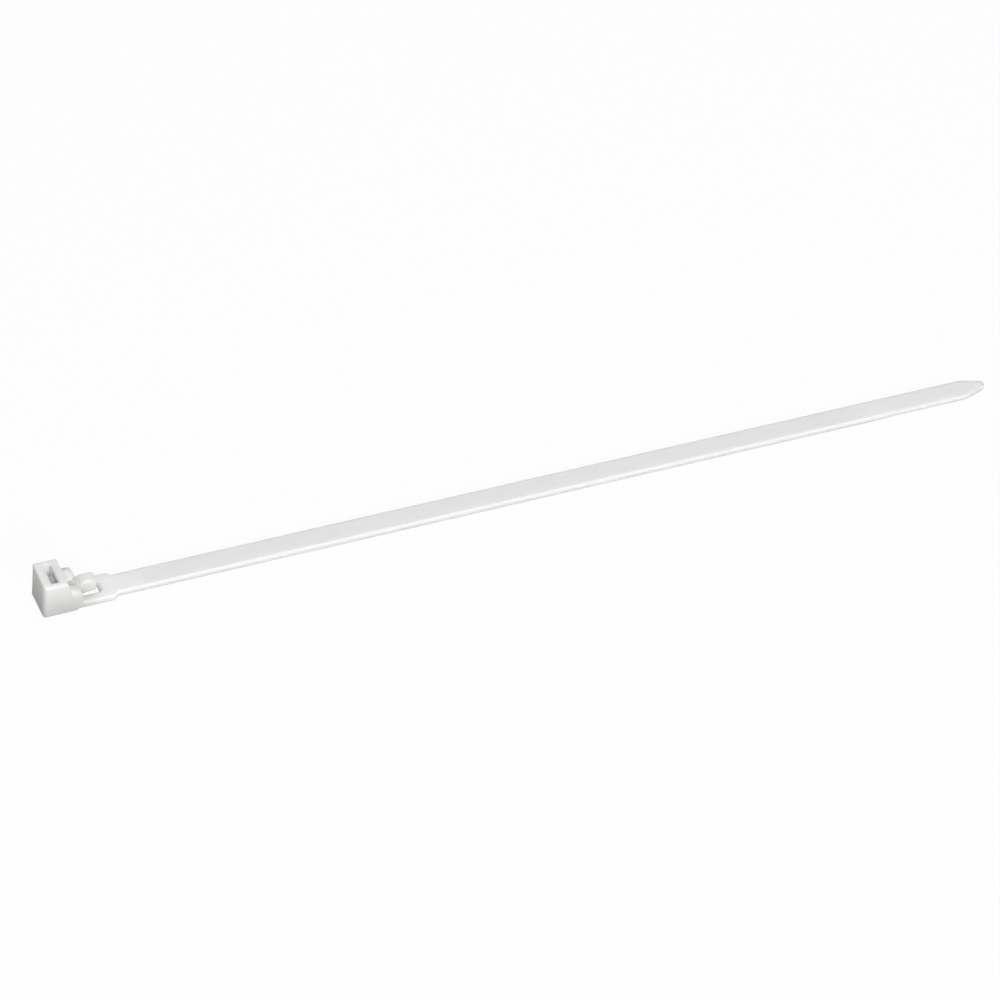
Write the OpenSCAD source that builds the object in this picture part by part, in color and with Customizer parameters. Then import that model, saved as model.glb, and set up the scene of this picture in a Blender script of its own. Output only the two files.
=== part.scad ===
// Releasable nylon cable tie, moulded in one piece, lying flat with its head up.
// Millimetres. X runs from the head to the tip, Y across the strap, Z up.
// The origin is under the middle of the tie, on the surface that it lies on.

/* [Overall] */
// Length from the head's closed end to the tip
overall_l = 200; // [140:1:300]
// Radius of the moulding's small edges
edge_r = 0.45; // [0.2:0.05:0.5]

/* [Head] */
// Width of the head across the strap
head_w = 7.2; // [6.8:0.1:9]
// Height of the head above the strap's underside
head_h = 7.3; // [6.8:0.1:9]
// Length of the head's full-height block
head_top_l = 4.55; // [4.5:0.05:5]
// Length of the head along the cheeks
head_l = 7.6; // [7.5:0.05:8.5]
// Radius of the head's two upright corners at the closed end
head_corner_r = 0.9; // [0.6:0.1:1.4]
// Radius of the head's two long upper edges
head_round_r = 0.6; // [0.5:0.1:1.2]
// Height of the cheeks where they leave the head's block
cheek_h = 4.9; // [4.6:0.05:5.2]
// Radius of the cheeks' lower end
cheek_r = 2.3; // [1.5:0.1:2.4]

/* [Slot] */
// Distance from the closed end to the slot
slot_x = 1.75; // [1.4:0.05:1.8]
// Clearance of the slot over the strap's thickness
slot_gap = 0.1; // [0.05:0.05:0.2]
// Gap between the strap's edge and the end of the slot
slot_side_gap = 0.1; // [0.05:0.05:0.2]
// Depth of the funnel where the tip is threaded in
slot_lead_h = 1.2; // [0.6:0.1:1.8]
// How far the funnel widens the slot on its closed side
slot_lead_w = 0.5; // [0.2:0.1:0.8]
// Bevel at the slot's upper mouth, on the pawl's side
slot_exit = 0.3; // [0.1:0.05:0.4]

/* [Pawl and release lever] */
// Width of the pawl and of the lever
pawl_w = 2.4; // [2:0.1:2.6]
// Running gap on each side of the pawl and of the lever
pawl_gap = 0.2; // [0.15:0.05:0.35]
// Number of locking teeth on the pawl
pawl_teeth = 3; // [2:1:3]
// How far the pawl's teeth reach into the slot
pawl_bite = 0.45; // [0.1:0.05:0.5]
// Length of the finger tongue beyond the head's block
tongue_l = 2.05; // [1.4:0.05:2.2]
// Step from the head's top down to the tongue's raised end
tongue_drop = 0.95; // [0.9:0.05:1.1]
// Thickness of the finger tongue
tongue_t = 0.75; // [0.6:0.05:0.8]
// Distance from the head's closed end to the lever's free end
lever_end_x = 10.95; // [10.4:0.05:11]
// Height of the lever's crest
lever_h = 4.5; // [4.3:0.1:4.7]
// Thickness of the lever's pad under its crest
lever_t = 2.95; // [2.4:0.05:3]
// Radius that crowns the lever's two long upper edges
lever_crown_r = 0.55; // [0.3:0.05:0.9]

/* [Strap] */
// Width of the strap
strap_w = 4.8; // [4:0.1:5]
// Thickness of the strap
strap_t = 1.15; // [1.1:0.05:1.3]
// Width of the strap's root beside the lever's window
root_w = 6.3; // [6:0.1:6.6]
// Length of the root's solid end, from the window to the strap
root_end_l = 2.1; // [1.4:0.1:3]
// Gap between the lever's free end and the end of the window
window_gap = 0.85; // [0.4:0.05:0.9]
// Ramp that eases the end of the window
window_ramp = 0.45; // [0.2:0.05:0.6]
// Length over which the root narrows to the strap
root_taper_l = 0.6; // [0.5:0.1:2]

/* [Teeth] */
// Distance from one tooth of the strap to the next
tooth_pitch = 1.1; // [0.9:0.05:1.4]
// Depth of the teeth
tooth_h = 0.5; // [0.3:0.05:0.55]
// Width of each smooth rail beside the teeth
rail_w = 0.65; // [0.5:0.05:0.9]
// Plain length between the root and the first tooth
plain_l = 6; // [3:1:15]

/* [Tail] */
// Length of the thin tail without teeth
tail_l = 27; // [20:1:40]
// Thickness of the tail
tail_t = 0.85; // [0.75:0.05:0.95]
// Length of the pointed tip
tip_l = 5.2; // [4:0.1:9]
// Width of the tip's blunt end
tip_w = 1.5; // [1.2:0.1:2.2]
// Number of grip ribs across the tail
rib_n = 9; // [5:1:10]
// Distance from one grip rib to the next
rib_pitch = 1.5; // [1.2:0.1:1.5]

/* [Hidden] */
nylon = [0.93, 0.93, 0.91];
arc_step = 12;
eps = 0.01;

// Small radii of the moulding.
low_r = edge_r / 2;
rail_r = 0.15;
plan_r = 0.4;
neck_r = 0.3;
soft_r = 0.2;

// The pawl hangs in a window that starts at the slot and ends past the lever.
slot_t = strap_t + slot_gap;
slot_end_x = slot_x + slot_t;
slot_w = strap_w + 2 * slot_side_gap;
window_w = pawl_w + 2 * pawl_gap;
window_end_x = lever_end_x + window_gap;
root_end_x = window_end_x + root_end_l;
strap_x = root_end_x + root_taper_l;

// A sill across the window carries the hinge under the pawl.
hinge_x = slot_end_x + 1.35;
hinge_t = 0.5;
sill_h = strap_t;
sill_start_x = hinge_x - 0.3;
sill_end_x = hinge_x + 1.9;
sill_low_z = 0.1;
sill_r = 0.3;
bridge_gap = 0.25;

// The cheeks fall from the head's top to the rounded end beside the root.
shoulder_x = head_top_l + 0.7;
knee_x = head_l - 0.8;
knee_z = cheek_h - 1.0;
knee_r = 1.3;
cheek_round_r = 1.1;

// Pawl: its back is upright and its teeth lean over the slot.
pawl_x = slot_end_x + 0.3;
pawl_tip_x = slot_end_x - pawl_bite;
pawl_back_x = hinge_x;
pawl_back_z = 0.35;
pawl_foot_x = hinge_x - 0.1;
pawl_heel_x = pawl_x + 0.25;
pawl_heel_z = sill_h + 0.9;
pawl_land = 0.1;
tongue_z = head_h - tongue_drop;
tongue_low_z = tongue_z - tongue_t;
tongue_end_x = head_top_l + tongue_l;
tongue_rise = 0.25;
tongue_plan_r = 0.8;
pawl_tooth_z = tongue_low_z - pawl_land;

// Lever: an arm dips behind the pawl, then rises to the crest over the pad.
arm_start_x = pawl_back_x - 0.5;
arm_bend_x = pawl_back_x + 0.3;
arm_top_z = lever_h - 0.65;
arm_dip_x = knee_x + 0.2;
arm_dip_z = lever_h - 1.15;
arm_dip_r = 1.2;
arm_low_x = knee_x + 0.3;
arm_low_z = lever_h - 1.95;
arm_low_r = 0.8;
crest_x = lever_end_x - 2.1;
crest_z = lever_h + 0.2;
crest_r = 2.2;
lever_nose_z = lever_h - 0.6;
lever_low_z = lever_h - lever_t;
lever_heel_z = lever_low_z + 0.4;
lever_heel_r = 0.3;
pad_x = knee_x + 1.3;
pad_r = 0.5;

// Strap, teeth and tail.
tail_x = overall_l - tail_l;
tail_lift = strap_t - tail_t;
tail_slope_l = 5;
teeth_x = strap_x + plain_l;
teeth_n = floor((tail_x - 1 - teeth_x) / tooth_pitch);
channel_w = strap_w - 2 * rail_w;
tooth_root = 0.15 * tooth_pitch;
tooth_crest = 0.35 * tooth_pitch;
tooth_low_z = 0.05;
tip_x = overall_l - tip_l;
tip_bend_r = 4;
tip_end_r = 0.7;
neck_end_x = strap_x + 1;
rib_w = 0.5;
rib_side = 0.25 * rib_w;
rib_h = 0.15;
rib_x = tail_x + tail_slope_l + 1;

function unit(v) = v / norm(v);

function turn(a) = a > 180 ? a - 360 : a < -180 ? a + 360 : a;

// Arc of radius r that replaces corner b between its neighbours a and c.
function corner(a, b, c, r) =
    let (
        u = unit(a - b),
        v = unit(c - b),
        half = acos(u * v) / 2,
        centre = b + unit(u + v) * r / sin(half),
        from = b + u * r / tan(half) - centre,
        to = b + v * r / tan(half) - centre,
        start = atan2(from[1], from[0]),
        sweep = turn(atan2(to[1], to[0]) - start),
        n = max(1, ceil(abs(sweep) / arc_step))
    )
    [for (i = [0:n]) centre + r * [cos(start + sweep * i / n), sin(start + sweep * i / n)]];

// Outline whose corners are given as [x, y, radius].
function outline(p) =
    [for (i = [0:len(p) - 1])
        let (
            a = p[(i + len(p) - 1) % len(p)],
            b = p[i],
            c = p[(i + 1) % len(p)],
            arc = b[2] > 0
                ? corner([a[0], a[1]], [b[0], b[1]], [c[0], c[1]], b[2])
                : [[b[0], b[1]]]
        )
        each arc];

// Prism from a side view (X, Z), centred across the strap.
module from_side(points, width) {
    rotate([90, 0, 0])
        linear_extrude(height = width, center = true)
            polygon(points);
}

// Prism from a plan view (X, Y).
module from_plan(points, low, high) {
    translate([0, 0, low])
        linear_extrude(height = high - low)
            polygon(points);
}

// Prism from an end view (Y, Z).
module from_end(points, start, stop) {
    translate([start, 0, 0])
        rotate([90, 0, 90])
            linear_extrude(height = stop - start)
                polygon(points);
}

// Rounded bar seen from the end, of the head's width.
module head_section(height, top_r, stop) {
    half = head_w / 2;
    from_end(outline([
        [-half, 0, low_r],
        [half, 0, low_r],
        [half, height, top_r],
        [-half, height, top_r]
    ]), 0, stop);
}

// Full-height block round the slot.
module head_top() {
    intersection() {
        from_side(outline([
            [0, 0, low_r],
            [shoulder_x, 0, 0],
            [shoulder_x, cheek_h, 0],
            [head_top_l, head_h, edge_r],
            [0, head_h, edge_r]
        ]), head_w);
        head_section(head_h, head_round_r, shoulder_x);
    }
}

// Lower part of the head, whose sides run on as the two cheeks.
module head_cheeks() {
    intersection() {
        from_side(outline([
            [head_top_l, 0, 0],
            [head_l, 0, cheek_r],
            [head_l, knee_z, knee_r],
            [shoulder_x, cheek_h, 0],
            [head_top_l, cheek_h, 0]
        ]), head_w);
        head_section(cheek_h, cheek_round_r, head_l);
    }
}

// Head without its openings, with its upright corners rounded.
module head_block() {
    half = head_w / 2;
    intersection() {
        union() {
            head_top();
            head_cheeks();
        }
        from_plan(outline([
            [0, -half, head_corner_r],
            [head_l, -half, edge_r],
            [head_l, half, edge_r],
            [0, half, head_corner_r]
        ]), 0, head_h);
    }
}

// Slot for the strap: a funnel where the tip goes in, a bevel where it comes out.
module slot() {
    from_side([
        [slot_x - slot_lead_w, -eps],
        [slot_end_x, -eps],
        [slot_end_x, head_h - slot_exit],
        [slot_end_x + slot_exit, head_h],
        [slot_end_x + slot_exit, head_h + eps],
        [slot_x, head_h + eps],
        [slot_x, slot_lead_h]
    ], slot_w);
}

// Window in which the pawl and the lever move, open below and at the back.
module window() {
    half = window_w / 2;
    from_plan(outline([
        [slot_end_x - eps, -half, 0],
        [window_end_x, -half, plan_r],
        [window_end_x, half, plan_r],
        [slot_end_x - eps, half, 0]
    ]), -eps, tongue_z + bridge_gap);
}

// Ramp at the end of the window, between its rounded corners.
module ramp() {
    from_side([
        [window_end_x - plan_r, strap_t - window_ramp],
        [window_end_x, strap_t - window_ramp],
        [window_end_x + window_ramp, strap_t],
        [window_end_x + window_ramp, strap_t + eps],
        [window_end_x - plan_r, strap_t + eps]
    ], window_w - 2 * plan_r);
}

// Flat root of the strap, wider than the strap beside the window.
module root() {
    half = root_w / 2;
    neck = strap_w / 2;
    intersection() {
        from_plan(outline([
            [head_top_l, -half, 0],
            [root_end_x, -half, neck_r],
            [strap_x, -neck, neck_r],
            [neck_end_x, -neck, 0],
            [neck_end_x, neck, 0],
            [strap_x, neck, neck_r],
            [root_end_x, half, neck_r],
            [head_top_l, half, 0]
        ]), 0, strap_t);
        union() {
            strap_section(root_w, head_top_l, strap_x);
            strap_section(strap_w, head_top_l, neck_end_x);
        }
    }
}

// Strap section with soft upper edges, from one place along it to another.
module strap_section(width, start, stop) {
    half = width / 2;
    from_end(outline([
        [-half, 0, rail_r],
        [half, 0, rail_r],
        [half, strap_t, edge_r],
        [-half, strap_t, edge_r]
    ]), start, stop);
}

// Plain strap with its lifted tail and its pointed tip.
module strap_blank() {
    half = strap_w / 2;
    end = tip_w / 2;
    intersection() {
        strap_section(strap_w, root_end_x, overall_l);
        from_side([
            [root_end_x, 0],
            [tail_x, 0],
            [tail_x + tail_slope_l, tail_lift],
            [overall_l, tail_lift],
            [overall_l, strap_t],
            [root_end_x, strap_t]
        ], strap_w);
        from_plan(outline([
            [root_end_x, -half, 0],
            [tip_x, -half, tip_bend_r],
            [overall_l, -end, tip_end_r],
            [overall_l, end, tip_end_r],
            [tip_x, half, tip_bend_r],
            [root_end_x, half, 0]
        ]), 0, strap_t);
    }
}

// Toothed channel under the strap: upright faces look towards the head.
module teeth_channel() {
    last = teeth_x + teeth_n * tooth_pitch;
    from_side(concat(
        [[teeth_x, -eps], [teeth_x, tooth_h]],
        [for (i = [0:teeth_n - 1])
            let (x = teeth_x + i * tooth_pitch)
            each [
                [x + tooth_root, tooth_h],
                [x + tooth_root, tooth_low_z],
                [x + tooth_crest, tooth_low_z],
                [x + tooth_pitch, tooth_h]
            ]],
        [[last, -eps]]
    ), channel_w);
}

// Low ribs under the tail, for the fingers.
module tail_ribs() {
    for (i = [0:rib_n - 1]) {
        x = rib_x + i * rib_pitch;
        from_side([
            [x, tail_lift + eps],
            [x + rib_side, tail_lift - rib_h],
            [x + rib_w - rib_side, tail_lift - rib_h],
            [x + rib_w, tail_lift + eps]
        ], channel_w);
    }
}

// Plan outline of the pawl's width with a rounded free end.
module pawl_plan(stop, end_r) {
    half = pawl_w / 2;
    from_plan(outline([
        [pawl_tip_x - 1, -half, 0],
        [stop, -half, end_r],
        [stop, half, end_r],
        [pawl_tip_x - 1, half, 0]
    ]), 0, head_h);
}

// Pawl with its teeth, and the finger tongue that its top end runs out to.
module pawl() {
    intersection() {
        from_side(concat(
            [[hinge_x + hinge_t, sill_h - eps], [pawl_foot_x, sill_h - eps]],
            [[pawl_heel_x, pawl_heel_z]],
            [for (i = [0:pawl_teeth - 1])
                let (z = pawl_tooth_z - (pawl_teeth - i) * tooth_pitch)
                each [
                    [pawl_x, z + pawl_land],
                    [pawl_tip_x, z + tooth_pitch - 2 * pawl_land],
                    [pawl_tip_x, z + tooth_pitch - pawl_land],
                    [pawl_x, z + tooth_pitch]
                ]],
            outline([
                [pawl_x, pawl_tooth_z + pawl_land / 2, 0],
                [pawl_x, tongue_z - tongue_rise, soft_r],
                [head_top_l, tongue_z - tongue_rise, 0],
                [tongue_end_x, tongue_z, soft_r],
                [tongue_end_x, tongue_low_z, soft_r],
                [pawl_back_x, tongue_low_z - pawl_back_z, soft_r],
                [pawl_back_x, arm_low_z, 0],
                [hinge_x + hinge_t, arm_low_z, 0],
                [hinge_x + hinge_t, sill_h, 0]
            ])
        ), pawl_w);
        pawl_plan(tongue_end_x, tongue_plan_r);
    }
}

// Release lever: an arm from the pawl's back and a crowned pad for the finger.
module lever() {
    half = pawl_w / 2;
    intersection() {
        from_side(outline([
            [arm_start_x, arm_top_z, 0],
            [arm_bend_x, arm_top_z, plan_r],
            [arm_dip_x, arm_dip_z, arm_dip_r],
            [crest_x, crest_z, crest_r],
            [lever_end_x, lever_nose_z, plan_r],
            [lever_end_x, lever_heel_z, lever_heel_r],
            [pad_x, lever_low_z, pad_r],
            [arm_low_x, arm_low_z, arm_low_r],
            [arm_start_x, arm_low_z, 0]
        ]), pawl_w);
        from_end(outline([
            [-half, 0, 0],
            [half, 0, 0],
            [half, lever_h, lever_crown_r],
            [-half, lever_h, lever_crown_r]
        ]), 0, lever_end_x);
        pawl_plan(lever_end_x, pad_r);
    }
}

// Sill across the window that ties the two cheeks and carries the hinge.
module sill() {
    from_side(outline([
        [sill_start_x, sill_low_z, soft_r],
        [sill_end_x, sill_low_z, soft_r],
        [sill_end_x, sill_h, sill_r],
        [sill_start_x, sill_h, soft_r]
    ]), window_w + 2 * eps);
}

module cable_tie() {
    color(nylon)
    translate([-overall_l / 2, 0, 0])
    union() {
        difference() {
            union() {
                head_block();
                root();
                strap_blank();
                tail_ribs();
            }
            slot();
            window();
            ramp();
            teeth_channel();
        }
        sill();
        pawl();
        lever();
    }
}

cable_tie();
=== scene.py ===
import math

import bmesh
import bpy
from bpy.props import FloatProperty, FloatVectorProperty, IntProperty, PointerProperty
from mathutils import Matrix, Vector


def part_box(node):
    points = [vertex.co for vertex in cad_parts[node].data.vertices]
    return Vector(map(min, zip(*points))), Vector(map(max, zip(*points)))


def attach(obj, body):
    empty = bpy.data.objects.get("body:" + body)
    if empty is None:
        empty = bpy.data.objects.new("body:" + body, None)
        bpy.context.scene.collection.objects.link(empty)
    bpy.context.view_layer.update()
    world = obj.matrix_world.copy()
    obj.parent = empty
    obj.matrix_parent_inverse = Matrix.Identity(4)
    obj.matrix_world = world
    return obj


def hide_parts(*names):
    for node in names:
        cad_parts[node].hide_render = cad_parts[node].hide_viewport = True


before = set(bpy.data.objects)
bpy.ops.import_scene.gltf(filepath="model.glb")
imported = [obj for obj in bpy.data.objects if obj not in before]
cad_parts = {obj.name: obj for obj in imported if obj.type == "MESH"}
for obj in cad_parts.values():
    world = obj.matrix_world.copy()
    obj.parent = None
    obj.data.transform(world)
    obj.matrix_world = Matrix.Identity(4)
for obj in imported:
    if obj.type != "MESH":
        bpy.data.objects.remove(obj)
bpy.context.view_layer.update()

bl_info = {
    "name": "Releasable Cable Tie",
    "version": (1, 0, 0),
    "blender": (4, 5, 0),
    "location": "View3D > Sidebar > Cable Tie",
    "description": "Natural nylon cable tie with a release lever, on a pale studio floor",
    "category": "Add Mesh",
}

MM = 0.001
TIE_LOW, TIE_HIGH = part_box("cable_tie")

# Points of the solid closer than this are one, and flatter edges are none.
MERGE_GAP = 0.001 * MM
FLAT_TURN = math.radians(0.5)

# The thick head's colour fades into the strap's lighter colour, partly painted light, between
# these distances from its closed end, and the painted shade at its foot fades into its upper
# part between these heights.
HEAD_FADE = (6.5 * MM, 15.0 * MM)
FOOT_FADE = (0.4 * MM, 6.8 * MM)

# The slot's walls, whose colour is lightened with painted light: where they start and end,
# their half width, and their upper rim.
SLOT_START = (1.7 * MM, 1.72 * MM)
SLOT_END = (3.3 * MM, 3.4 * MM)
SLOT_HALF = (2.51 * MM, 2.53 * MM)
SLOT_RIM = (-0.03 * MM, -0.01 * MM)

# Levels of a noise at which one colour gives way to the other.
CLOUD_LEVELS = (0.32, 0.68)
FLECK_LEVELS = (0.3, 0.7)
FLECK_SHADE = 0.985
PAPER_SCALE = 900.0
FLOOR_DROP = 0.02 * MM

# Sockets of a Mix node that blends colours.
MIX_FIRST, MIX_SECOND, MIX_RESULT = 6, 7, 2


class Sock:
    """A shader socket that can be used in Python arithmetic."""

    def __init__(self, tree, socket):
        self.tree = tree
        self.socket = socket

    def node(self, kind, settings=None, inputs=None, output=0):
        """Add a node, set it up, feed its inputs and return one output."""
        made = self.tree.nodes.new(kind)
        for key, value in (settings or {}).items():
            setattr(made, key, value)
        for key, value in (inputs or {}).items():
            feed(self.tree, made.inputs[key], value)
        return Sock(self.tree, made.outputs[output])

    def also(self, name):
        """Another output of the node that this socket belongs to."""
        return Sock(self.tree, self.socket.node.outputs[name])

    def maths(self, operation, first, second=0.0):
        return self.node("ShaderNodeMath", {"operation": operation}, {0: first, 1: second})

    def __add__(self, other):
        return self.maths("ADD", self, other)

    def __radd__(self, other):
        return self.maths("ADD", other, self)

    def __sub__(self, other):
        return self.maths("SUBTRACT", self, other)

    def __rsub__(self, other):
        return self.maths("SUBTRACT", other, self)

    def __mul__(self, other):
        return self.maths("MULTIPLY", self, other)

    def __rmul__(self, other):
        return self.maths("MULTIPLY", other, self)

    def __abs__(self):
        return self.maths("ABSOLUTE", self)

    def smooth(self, start, stop):
        """0 before start, 1 after stop, and a soft step between them."""
        return self.node(
            "ShaderNodeMapRange",
            {"interpolation_type": "SMOOTHSTEP"},
            {"Value": self, "From Min": start, "From Max": stop},
        )

    def mix_colour(self, first, second):
        """Colour that goes from first to second as this value goes from 0 to 1."""
        return self.node(
            "ShaderNodeMix",
            {"data_type": "RGBA"},
            {"Factor": self, MIX_FIRST: first, MIX_SECOND: second},
            output=MIX_RESULT,
        )


def feed(tree, socket, value):
    """Link a Sock to a socket, or set the socket's own value."""
    if isinstance(value, Sock):
        tree.links.new(value.socket, socket)
    elif hasattr(value, "__len__") and socket.type == "RGBA":
        socket.default_value = (*value[:3], 1.0)
    else:
        socket.default_value = value


def empty_material(name):
    """A material with only its output, and a Sock on the output's surface."""
    material = bpy.data.materials.new(name)
    material.use_nodes = True
    tree = material.node_tree
    tree.nodes.clear()
    output = tree.nodes.new("ShaderNodeOutputMaterial")
    return material, Sock(tree, output.inputs["Surface"])


def background_rays(surface):
    """1 for the rays that show a background: seen, mirrored or through glass."""
    seen = surface.node("ShaderNodeLightPath", output="Is Camera Ray")
    shown = seen.maths("MAXIMUM", seen, seen.also("Is Glossy Ray"))
    return shown.maths("MAXIMUM", shown, seen.also("Is Transmission Ray"))


def slot_painted_light_mask(along, across, height):
    """1 on the walls of the slot, below the head's top, and 0 elsewhere: where painted light
    lightens the walls.
    """
    past_start = along.smooth(*(TIE_LOW.x + edge for edge in SLOT_START))
    past_end = along.smooth(*(TIE_LOW.x + edge for edge in SLOT_END))
    beside = abs(across).smooth(*SLOT_HALF)
    above = height.smooth(*(TIE_HIGH.z + edge for edge in SLOT_RIM))
    return past_start * (1.0 - past_end) * (1.0 - beside) * (1.0 - above)


def nylon_material(colours, finish):
    """Natural nylon: satin and cloudy, with painted light that makes the thin strap and the
    slot's walls whiter and painted shade that darkens the head's foot.
    """
    material, surface = empty_material("natural_nylon")
    make = surface.node
    place = make("ShaderNodeTexCoord", output="Object")
    along = make("ShaderNodeSeparateXYZ", inputs={0: place}, output="X")
    across = along.also("Y")
    height = along.also("Z")

    cloud = make(
        "ShaderNodeTexNoise",
        inputs={
            "Vector": place, "Scale": finish.cloud_scale, "Detail": 3.0, "Roughness": 0.55
        },
    )
    stretched = make(
        "ShaderNodeMapping",
        inputs={"Vector": place, "Scale": (finish.flow_stretch, 1.0, 1.0)},
    )
    flow = make(
        "ShaderNodeTexNoise",
        inputs={
            "Vector": stretched, "Scale": finish.flow_scale, "Detail": 4.0, "Roughness": 0.6
        },
    )
    grain = make(
        "ShaderNodeTexNoise",
        inputs={
            "Vector": place, "Scale": finish.grain_scale, "Detail": 2.0, "Roughness": 0.5
        },
    )

    clouded = (cloud * 0.55 + flow * 0.45).smooth(*CLOUD_LEVELS)
    # The strap's colours are a lighter copy of the nylon: painted light for light shining
    # through the thin strap, over a real cloudy tone.
    strap_painted_light_colour = clouded.mix_colour(colours.strap_dull_painted_light, colours.strap_clear_painted_light)
    head_colour = clouded.mix_colour(colours.head_warm, colours.head_white)
    head = 1.0 - along.smooth(*(TIE_LOW.x + edge for edge in HEAD_FADE))
    colour = head.mix_colour(strap_painted_light_colour, head_colour)
    # Painted shade: the head's colour is darkened towards its foot.
    foot = head * (1.0 - height.smooth(*FOOT_FADE))
    colour = foot.mix_colour(colour, colours.painted_foot_shade)
    # Painted light: the slot's walls are given the strap's lighter colour.
    slot = slot_painted_light_mask(along, across, height)
    colour = slot.mix_colour(colour, colours.strap_clear_painted_light)

    roughness = finish.roughness + finish.cloud_dull * cloud + finish.flow_dull * flow
    bump = make(
        "ShaderNodeBump",
        inputs={
            "Strength": finish.grain_strength,
            "Distance": finish.grain_depth,
            "Height": 0.55 * flow + 0.45 * grain,
        },
    )
    shader = make(
        "ShaderNodeBsdfPrincipled",
        {"subsurface_method": "RANDOM_WALK"},
        {
            "Base Color": colour,
            "Roughness": roughness,
            "Normal": bump,
            "IOR": 1.53,
            "Specular IOR Level": finish.gloss,
            "Subsurface Weight": 1.0,
            "Subsurface Radius": (1.0, 0.99, 0.95),
            "Subsurface Scale": finish.scatter_depth,
            "Coat Weight": finish.coat,
            "Coat Roughness": 0.3,
        },
    )
    surface.tree.links.new(shader.socket, surface.socket)
    return material


def paper_material(stage):
    """Pale paper floor that the camera and reflections see near white, with its shadow."""
    material, surface = empty_material("studio_paper")
    make = surface.node
    place = make("ShaderNodeTexCoord", output="Object")
    fibre = make(
        "ShaderNodeTexNoise",
        inputs={"Vector": place, "Scale": PAPER_SCALE, "Detail": 3.0},
    )
    tint = fibre.smooth(*FLECK_LEVELS).mix_colour(
        stage.floor_colour, [c * FLECK_SHADE for c in stage.floor_colour]
    )
    paper = make("ShaderNodeBsdfDiffuse", inputs={"Color": tint, "Roughness": 0.4})
    white = make("ShaderNodeEmission", inputs={"Color": (1.0, 1.0, 1.0), "Strength": 1.0})
    share = background_rays(surface) * stage.floor_white
    mixed = make("ShaderNodeMixShader", inputs={0: share, 1: paper, 2: white})
    surface.tree.links.new(mixed.socket, surface.socket)
    return material


def link_piece(name, bm, material):
    """Turn a bmesh in the row frame into an object at the origin."""
    mesh = bpy.data.meshes.new(name)
    bm.normal_update()
    bm.to_mesh(mesh)
    bm.free()
    piece = bpy.data.objects.new(name, mesh)
    bpy.context.scene.collection.objects.link(piece)
    mesh.materials.append(material)
    return piece


class TieSizes(bpy.types.PropertyGroup):
    """Sizes of the moulding's edges."""

    edge_soft: FloatProperty(
        name="Edge softness",
        description="Width of the rounding that the mould leaves on an edge",
        default=0.09 * MM,
        min=0.02 * MM,
        max=0.15 * MM,
        unit="LENGTH",
        precision=6,
    )
    edge_steps: IntProperty(
        name="Edge steps",
        description="Number of faces across a rounded edge",
        default=2,
        min=1,
        max=4,
    )
    edge_angle: FloatProperty(
        name="Edge angle",
        description="Smallest turn between two faces that counts as an edge",
        default=math.radians(28),
        subtype="ANGLE",
    )
    smooth_angle: FloatProperty(
        name="Smooth angle",
        description="Largest turn between two faces that are shaded as one curve",
        default=math.radians(40),
        subtype="ANGLE",
    )


class TieColours(bpy.types.PropertyGroup):
    """Colours of natural nylon where it is thick and where it is thin, with painted light in
    the thin strap and the slot's walls and painted shade at the head's foot.
    """

    head_white: FloatVectorProperty(
        name="Head white",
        description="Nylon in the thick head",
        default=(0.87, 0.87, 0.86),
        size=3,
        subtype="COLOR",
    )
    head_warm: FloatVectorProperty(
        name="Head warm",
        description="Warmer cloud in the thick head",
        default=(0.85, 0.846, 0.825),
        size=3,
        subtype="COLOR",
    )
    # Painted shade: the darker colour painted at the head's foot.
    painted_foot_shade: FloatVectorProperty(
        name="Head foot",
        description="Nylon at the foot of the head, where the light has been lost",
        default=(0.65, 0.647, 0.635),
        size=3,
        subtype="COLOR",
    )
    # Partly painted light: a lighter nylon colour for the thin strap and the slot's walls,
    # where light shines through; its cloudy tone is real.
    strap_clear_painted_light: FloatVectorProperty(
        name="Strap clear",
        description="Nylon in the thin strap and round the slot",
        default=(0.985, 0.985, 0.98),
        size=3,
        subtype="COLOR",
    )
    # Partly painted light: the greyer cloud of the strap's lighter colour.
    strap_dull_painted_light: FloatVectorProperty(
        name="Strap dull",
        description="Greyer cloud in the thin strap",
        default=(0.945, 0.945, 0.932),
        size=3,
        subtype="COLOR",
    )


class NylonFinish(bpy.types.PropertyGroup):
    """Sheen, grain and depth of the nylon."""

    cloud_scale: FloatProperty(
        name="Cloud scale", description="Clouds to a metre", default=210.0
    )
    flow_scale: FloatProperty(
        name="Flow scale", description="Flow lines to a metre, across the strap", default=900.0
    )
    flow_stretch: FloatProperty(
        name="Flow stretch",
        description="How far the flow lines are drawn out along the strap, 1 for not at all",
        default=0.12,
    )
    grain_scale: FloatProperty(
        name="Grain scale", description="Grains of the mould to a metre", default=5200.0
    )
    grain_depth: FloatProperty(
        name="Grain depth",
        description="Depth of the mould's grain",
        default=0.03 * MM,
        unit="LENGTH",
        precision=6,
    )
    grain_strength: FloatProperty(
        name="Grain strength",
        description="How strongly the grain shows",
        default=0.3,
        min=0.0,
        max=1.0,
    )
    roughness: FloatProperty(
        name="Roughness", description="Roughness of the smoothest places", default=0.36
    )
    cloud_dull: FloatProperty(
        name="Cloud dullness", description="Roughness that the clouds add", default=0.12
    )
    flow_dull: FloatProperty(
        name="Flow dullness", description="Roughness that the flow lines add", default=0.08
    )
    gloss: FloatProperty(
        name="Gloss", description="Strength of the reflections", default=0.3
    )
    coat: FloatProperty(
        name="Skin", description="Share of the clearer skin from the mould", default=0.05
    )
    scatter_depth: FloatProperty(
        name="Scatter depth",
        description="How far light spreads inside the nylon",
        default=1.4 * MM,
        unit="LENGTH",
        precision=6,
    )


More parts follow.
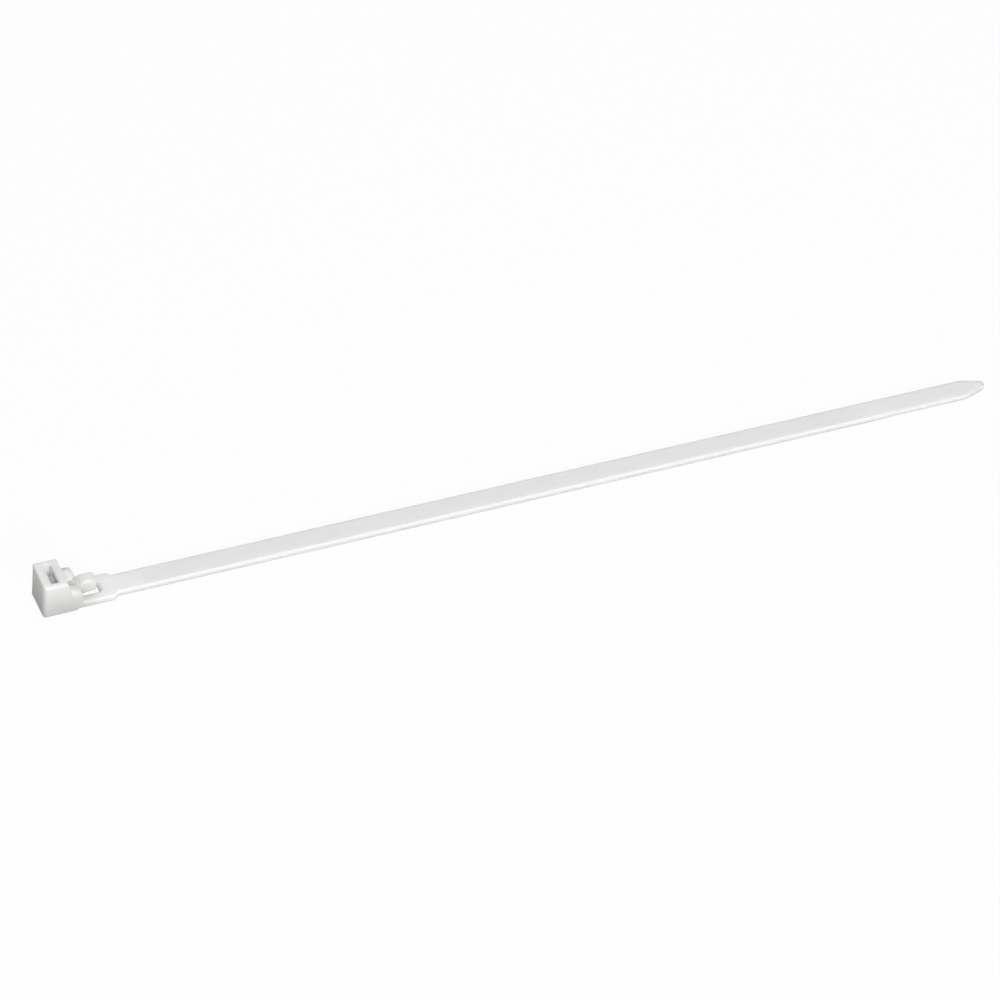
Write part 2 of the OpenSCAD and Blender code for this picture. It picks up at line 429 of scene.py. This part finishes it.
class StageSettings(bpy.types.PropertyGroup):
    """Floor, lamps and camera."""

    floor_size: FloatProperty(
        name="Floor size", description="Side of the floor", default=3.0, unit="LENGTH"
    )
    floor_colour: FloatVectorProperty(
        name="Floor colour",
        description="Colour that the floor throws back on the tie",
        default=(0.8, 0.8, 0.8),
        size=3,
        subtype="COLOR",
    )
    floor_white: FloatProperty(
        name="Floor white",
        description="Share of plain white in the floor that the camera sees",
        default=0.95,
        min=0.0,
        max=1.0,
    )
    world_grey: FloatProperty(
        name="Room light", description="Strength of the light all round", default=0.06
    )
    key_power: FloatProperty(
        name="Key lamp", description="Power of the large lamp in front", default=9.2
    )
    key_size: FloatProperty(
        name="Key size", description="Diameter of the key lamp", default=0.55, unit="LENGTH"
    )
    key_place: FloatVectorProperty(
        name="Key place",
        description="Where the key lamp hangs, in front of the tie",
        default=(-0.1, -0.95, 0.58),
        size=3,
        subtype="TRANSLATION",
        unit="LENGTH",
    )
    top_power: FloatProperty(
        name="Top lamp", description="Power of the soft lamp above", default=4.8
    )
    top_size: FloatProperty(
        name="Top size", description="Diameter of the top lamp", default=0.7, unit="LENGTH"
    )
    top_place: FloatVectorProperty(
        name="Top place",
        description="Where the top lamp hangs, over the tie",
        default=(0.05, 0.15, 0.95),
        size=3,
        subtype="TRANSLATION",
        unit="LENGTH",
    )
    view_aim: FloatVectorProperty(
        name="View aim",
        description="Point that the camera looks at",
        default=(-7.68 * MM, -0.39 * MM, 0.0),
        size=3,
        subtype="TRANSLATION",
        unit="LENGTH",
    )
    view_azimuth: FloatProperty(
        name="View azimuth",
        description="Turn of the camera round the tie, 0 looking along +Y",
        default=math.radians(-30.25),
        subtype="ANGLE",
    )
    view_elevation: FloatProperty(
        name="View elevation",
        description="Height of the camera over the tie, as an angle",
        default=math.radians(42.99),
        subtype="ANGLE",
    )
    view_roll: FloatProperty(
        name="View roll",
        description="Turn of the camera about its own line of sight",
        default=math.radians(8.71),
        subtype="ANGLE",
    )
    view_distance: FloatProperty(
        name="View distance",
        description="Distance from the camera to the point it looks at",
        default=0.67,
        unit="LENGTH",
    )
    lens: FloatProperty(
        name="Lens", description="Focal length in millimetres", default=126.54
    )
    sensor: FloatProperty(
        name="Sensor", description="Width of the camera's sensor in millimetres", default=36.0
    )


class TIE_OT_moulding(bpy.types.Operator):
    """Make the nylon moulding with the soft edges of a real one"""

    bl_idname = "tie.moulding"
    bl_label = "Nylon moulding"

    def execute(self, context):
        sizes = context.scene.tie_sizes
        bm = bmesh.new()
        bm.from_mesh(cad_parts["cable_tie"].data)
        bmesh.ops.remove_doubles(bm, verts=bm.verts, dist=MERGE_GAP)
        bmesh.ops.dissolve_limit(bm, angle_limit=FLAT_TURN, verts=bm.verts, edges=bm.edges)
        sharp = [
            edge
            for edge in bm.edges
            if len(edge.link_faces) == 2
            and edge.calc_face_angle() > sizes.edge_angle
        ]
        bmesh.ops.bevel(
            bm,
            geom=sharp,
            offset=sizes.edge_soft,
            affect="EDGES",
            segments=sizes.edge_steps,
            profile=0.5,
            material=-1,
            clamp_overlap=True,
        )
        for face in bm.faces:
            face.smooth = True
        material = nylon_material(context.scene.tie_colours, context.scene.tie_finish)
        moulding = link_piece("nylon_moulding", bm, material)
        moulding.data.set_sharp_from_angle(angle=sizes.smooth_angle)
        # Large faces rule the shading, so that they look flat beside the soft edges.
        flat = moulding.modifiers.new("flat_faces", "WEIGHTED_NORMAL")
        flat.keep_sharp = True
        flat.weight = 100
        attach(moulding, "root")
        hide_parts("cable_tie")
        return {"FINISHED"}


class TIE_OT_stage(bpy.types.Operator):
    """Set the floor, the lamps, the room light and the camera"""

    bl_idname = "tie.stage"
    bl_label = "Studio stage"

    def execute(self, context):
        stage = context.scene.tie_stage
        self.floor(stage)
        self.world(context.scene, stage)
        self.lamp("key_lamp", stage.key_power, stage.key_size, stage.key_place)
        self.lamp("top_lamp", stage.top_power, stage.top_size, stage.top_place)
        self.camera(context.scene, stage)
        context.scene.view_settings.view_transform = "Standard"
        return {"FINISHED"}

    def floor(self, stage):
        bm = bmesh.new()
        bmesh.ops.create_grid(bm, x_segments=1, y_segments=1, size=stage.floor_size / 2)
        bmesh.ops.translate(bm, verts=bm.verts, vec=(0.0, 0.0, -FLOOR_DROP))
        link_piece("floor", bm, paper_material(stage))

    def world(self, scene, stage):
        world = bpy.data.worlds.new("studio_room")
        scene.world = world
        world.use_nodes = True
        tree = world.node_tree
        tree.nodes.clear()
        output = tree.nodes.new("ShaderNodeOutputWorld")
        surface = Sock(tree, output.inputs["Surface"])
        strength = stage.world_grey + (1.0 - stage.world_grey) * background_rays(surface)
        back = surface.node(
            "ShaderNodeBackground", inputs={"Color": (1.0, 1.0, 1.0), "Strength": strength}
        )
        tree.links.new(back.socket, surface.socket)

    def lamp(self, name, power, size, place):
        data = bpy.data.lights.new(name, "AREA")
        data.energy = power
        data.shape = "DISK"
        data.size = size
        lamp = bpy.data.objects.new(name, data)
        lamp.location = place
        lamp.rotation_euler = (-Vector(place)).to_track_quat("-Z", "Y").to_euler()
        bpy.context.scene.collection.objects.link(lamp)

    def camera(self, scene, stage):
        az, el, roll = stage.view_azimuth, stage.view_elevation, stage.view_roll
        aim = Vector(stage.view_aim)
        back = Vector(
            (math.sin(az) * math.cos(el), -math.cos(az) * math.cos(el), math.sin(el))
        )
        level = Vector((math.cos(az), math.sin(az), 0.0))
        upright = back.cross(level)
        right = level * math.cos(roll) + upright * math.sin(roll)
        up = upright * math.cos(roll) - level * math.sin(roll)
        data = bpy.data.cameras.new("photo_camera")
        data.lens = stage.lens
        data.sensor_width = stage.sensor
        data.clip_start = 20.0 * MM
        camera = bpy.data.objects.new("photo_camera", data)
        turn = Matrix((right, up, back)).transposed().to_4x4()
        camera.matrix_world = Matrix.Translation(aim + back * stage.view_distance) @ turn
        scene.collection.objects.link(camera)
        scene.camera = camera


class TIE_PT_panel(bpy.types.Panel):
    """Cable tie tools"""

    bl_idname = "TIE_PT_panel"
    bl_label = "Cable Tie"
    bl_space_type = "VIEW_3D"
    bl_region_type = "UI"
    bl_category = "Cable Tie"

    def draw(self, context):
        layout = self.layout
        for group in GROUPS:
            settings = getattr(context.scene, group)
            box = layout.box()
            for key in settings.__annotations__:
                box.prop(settings, key)
        layout.operator(TIE_OT_moulding.bl_idname)
        layout.operator(TIE_OT_stage.bl_idname)


GROUPS = {
    "tie_sizes": TieSizes,
    "tie_colours": TieColours,
    "tie_finish": NylonFinish,
    "tie_stage": StageSettings,
}
CLASSES = (*GROUPS.values(), TIE_OT_moulding, TIE_OT_stage, TIE_PT_panel)


def register():
    for cls in CLASSES:
        bpy.utils.register_class(cls)
    for group, cls in GROUPS.items():
        setattr(bpy.types.Scene, group, PointerProperty(type=cls))


def unregister():
    for group in GROUPS:
        delattr(bpy.types.Scene, group)
    for cls in reversed(CLASSES):
        bpy.utils.unregister_class(cls)


def main():
    register()
    bpy.ops.tie.moulding()
    bpy.ops.tie.stage()


if __name__ == "__main__":
    main()
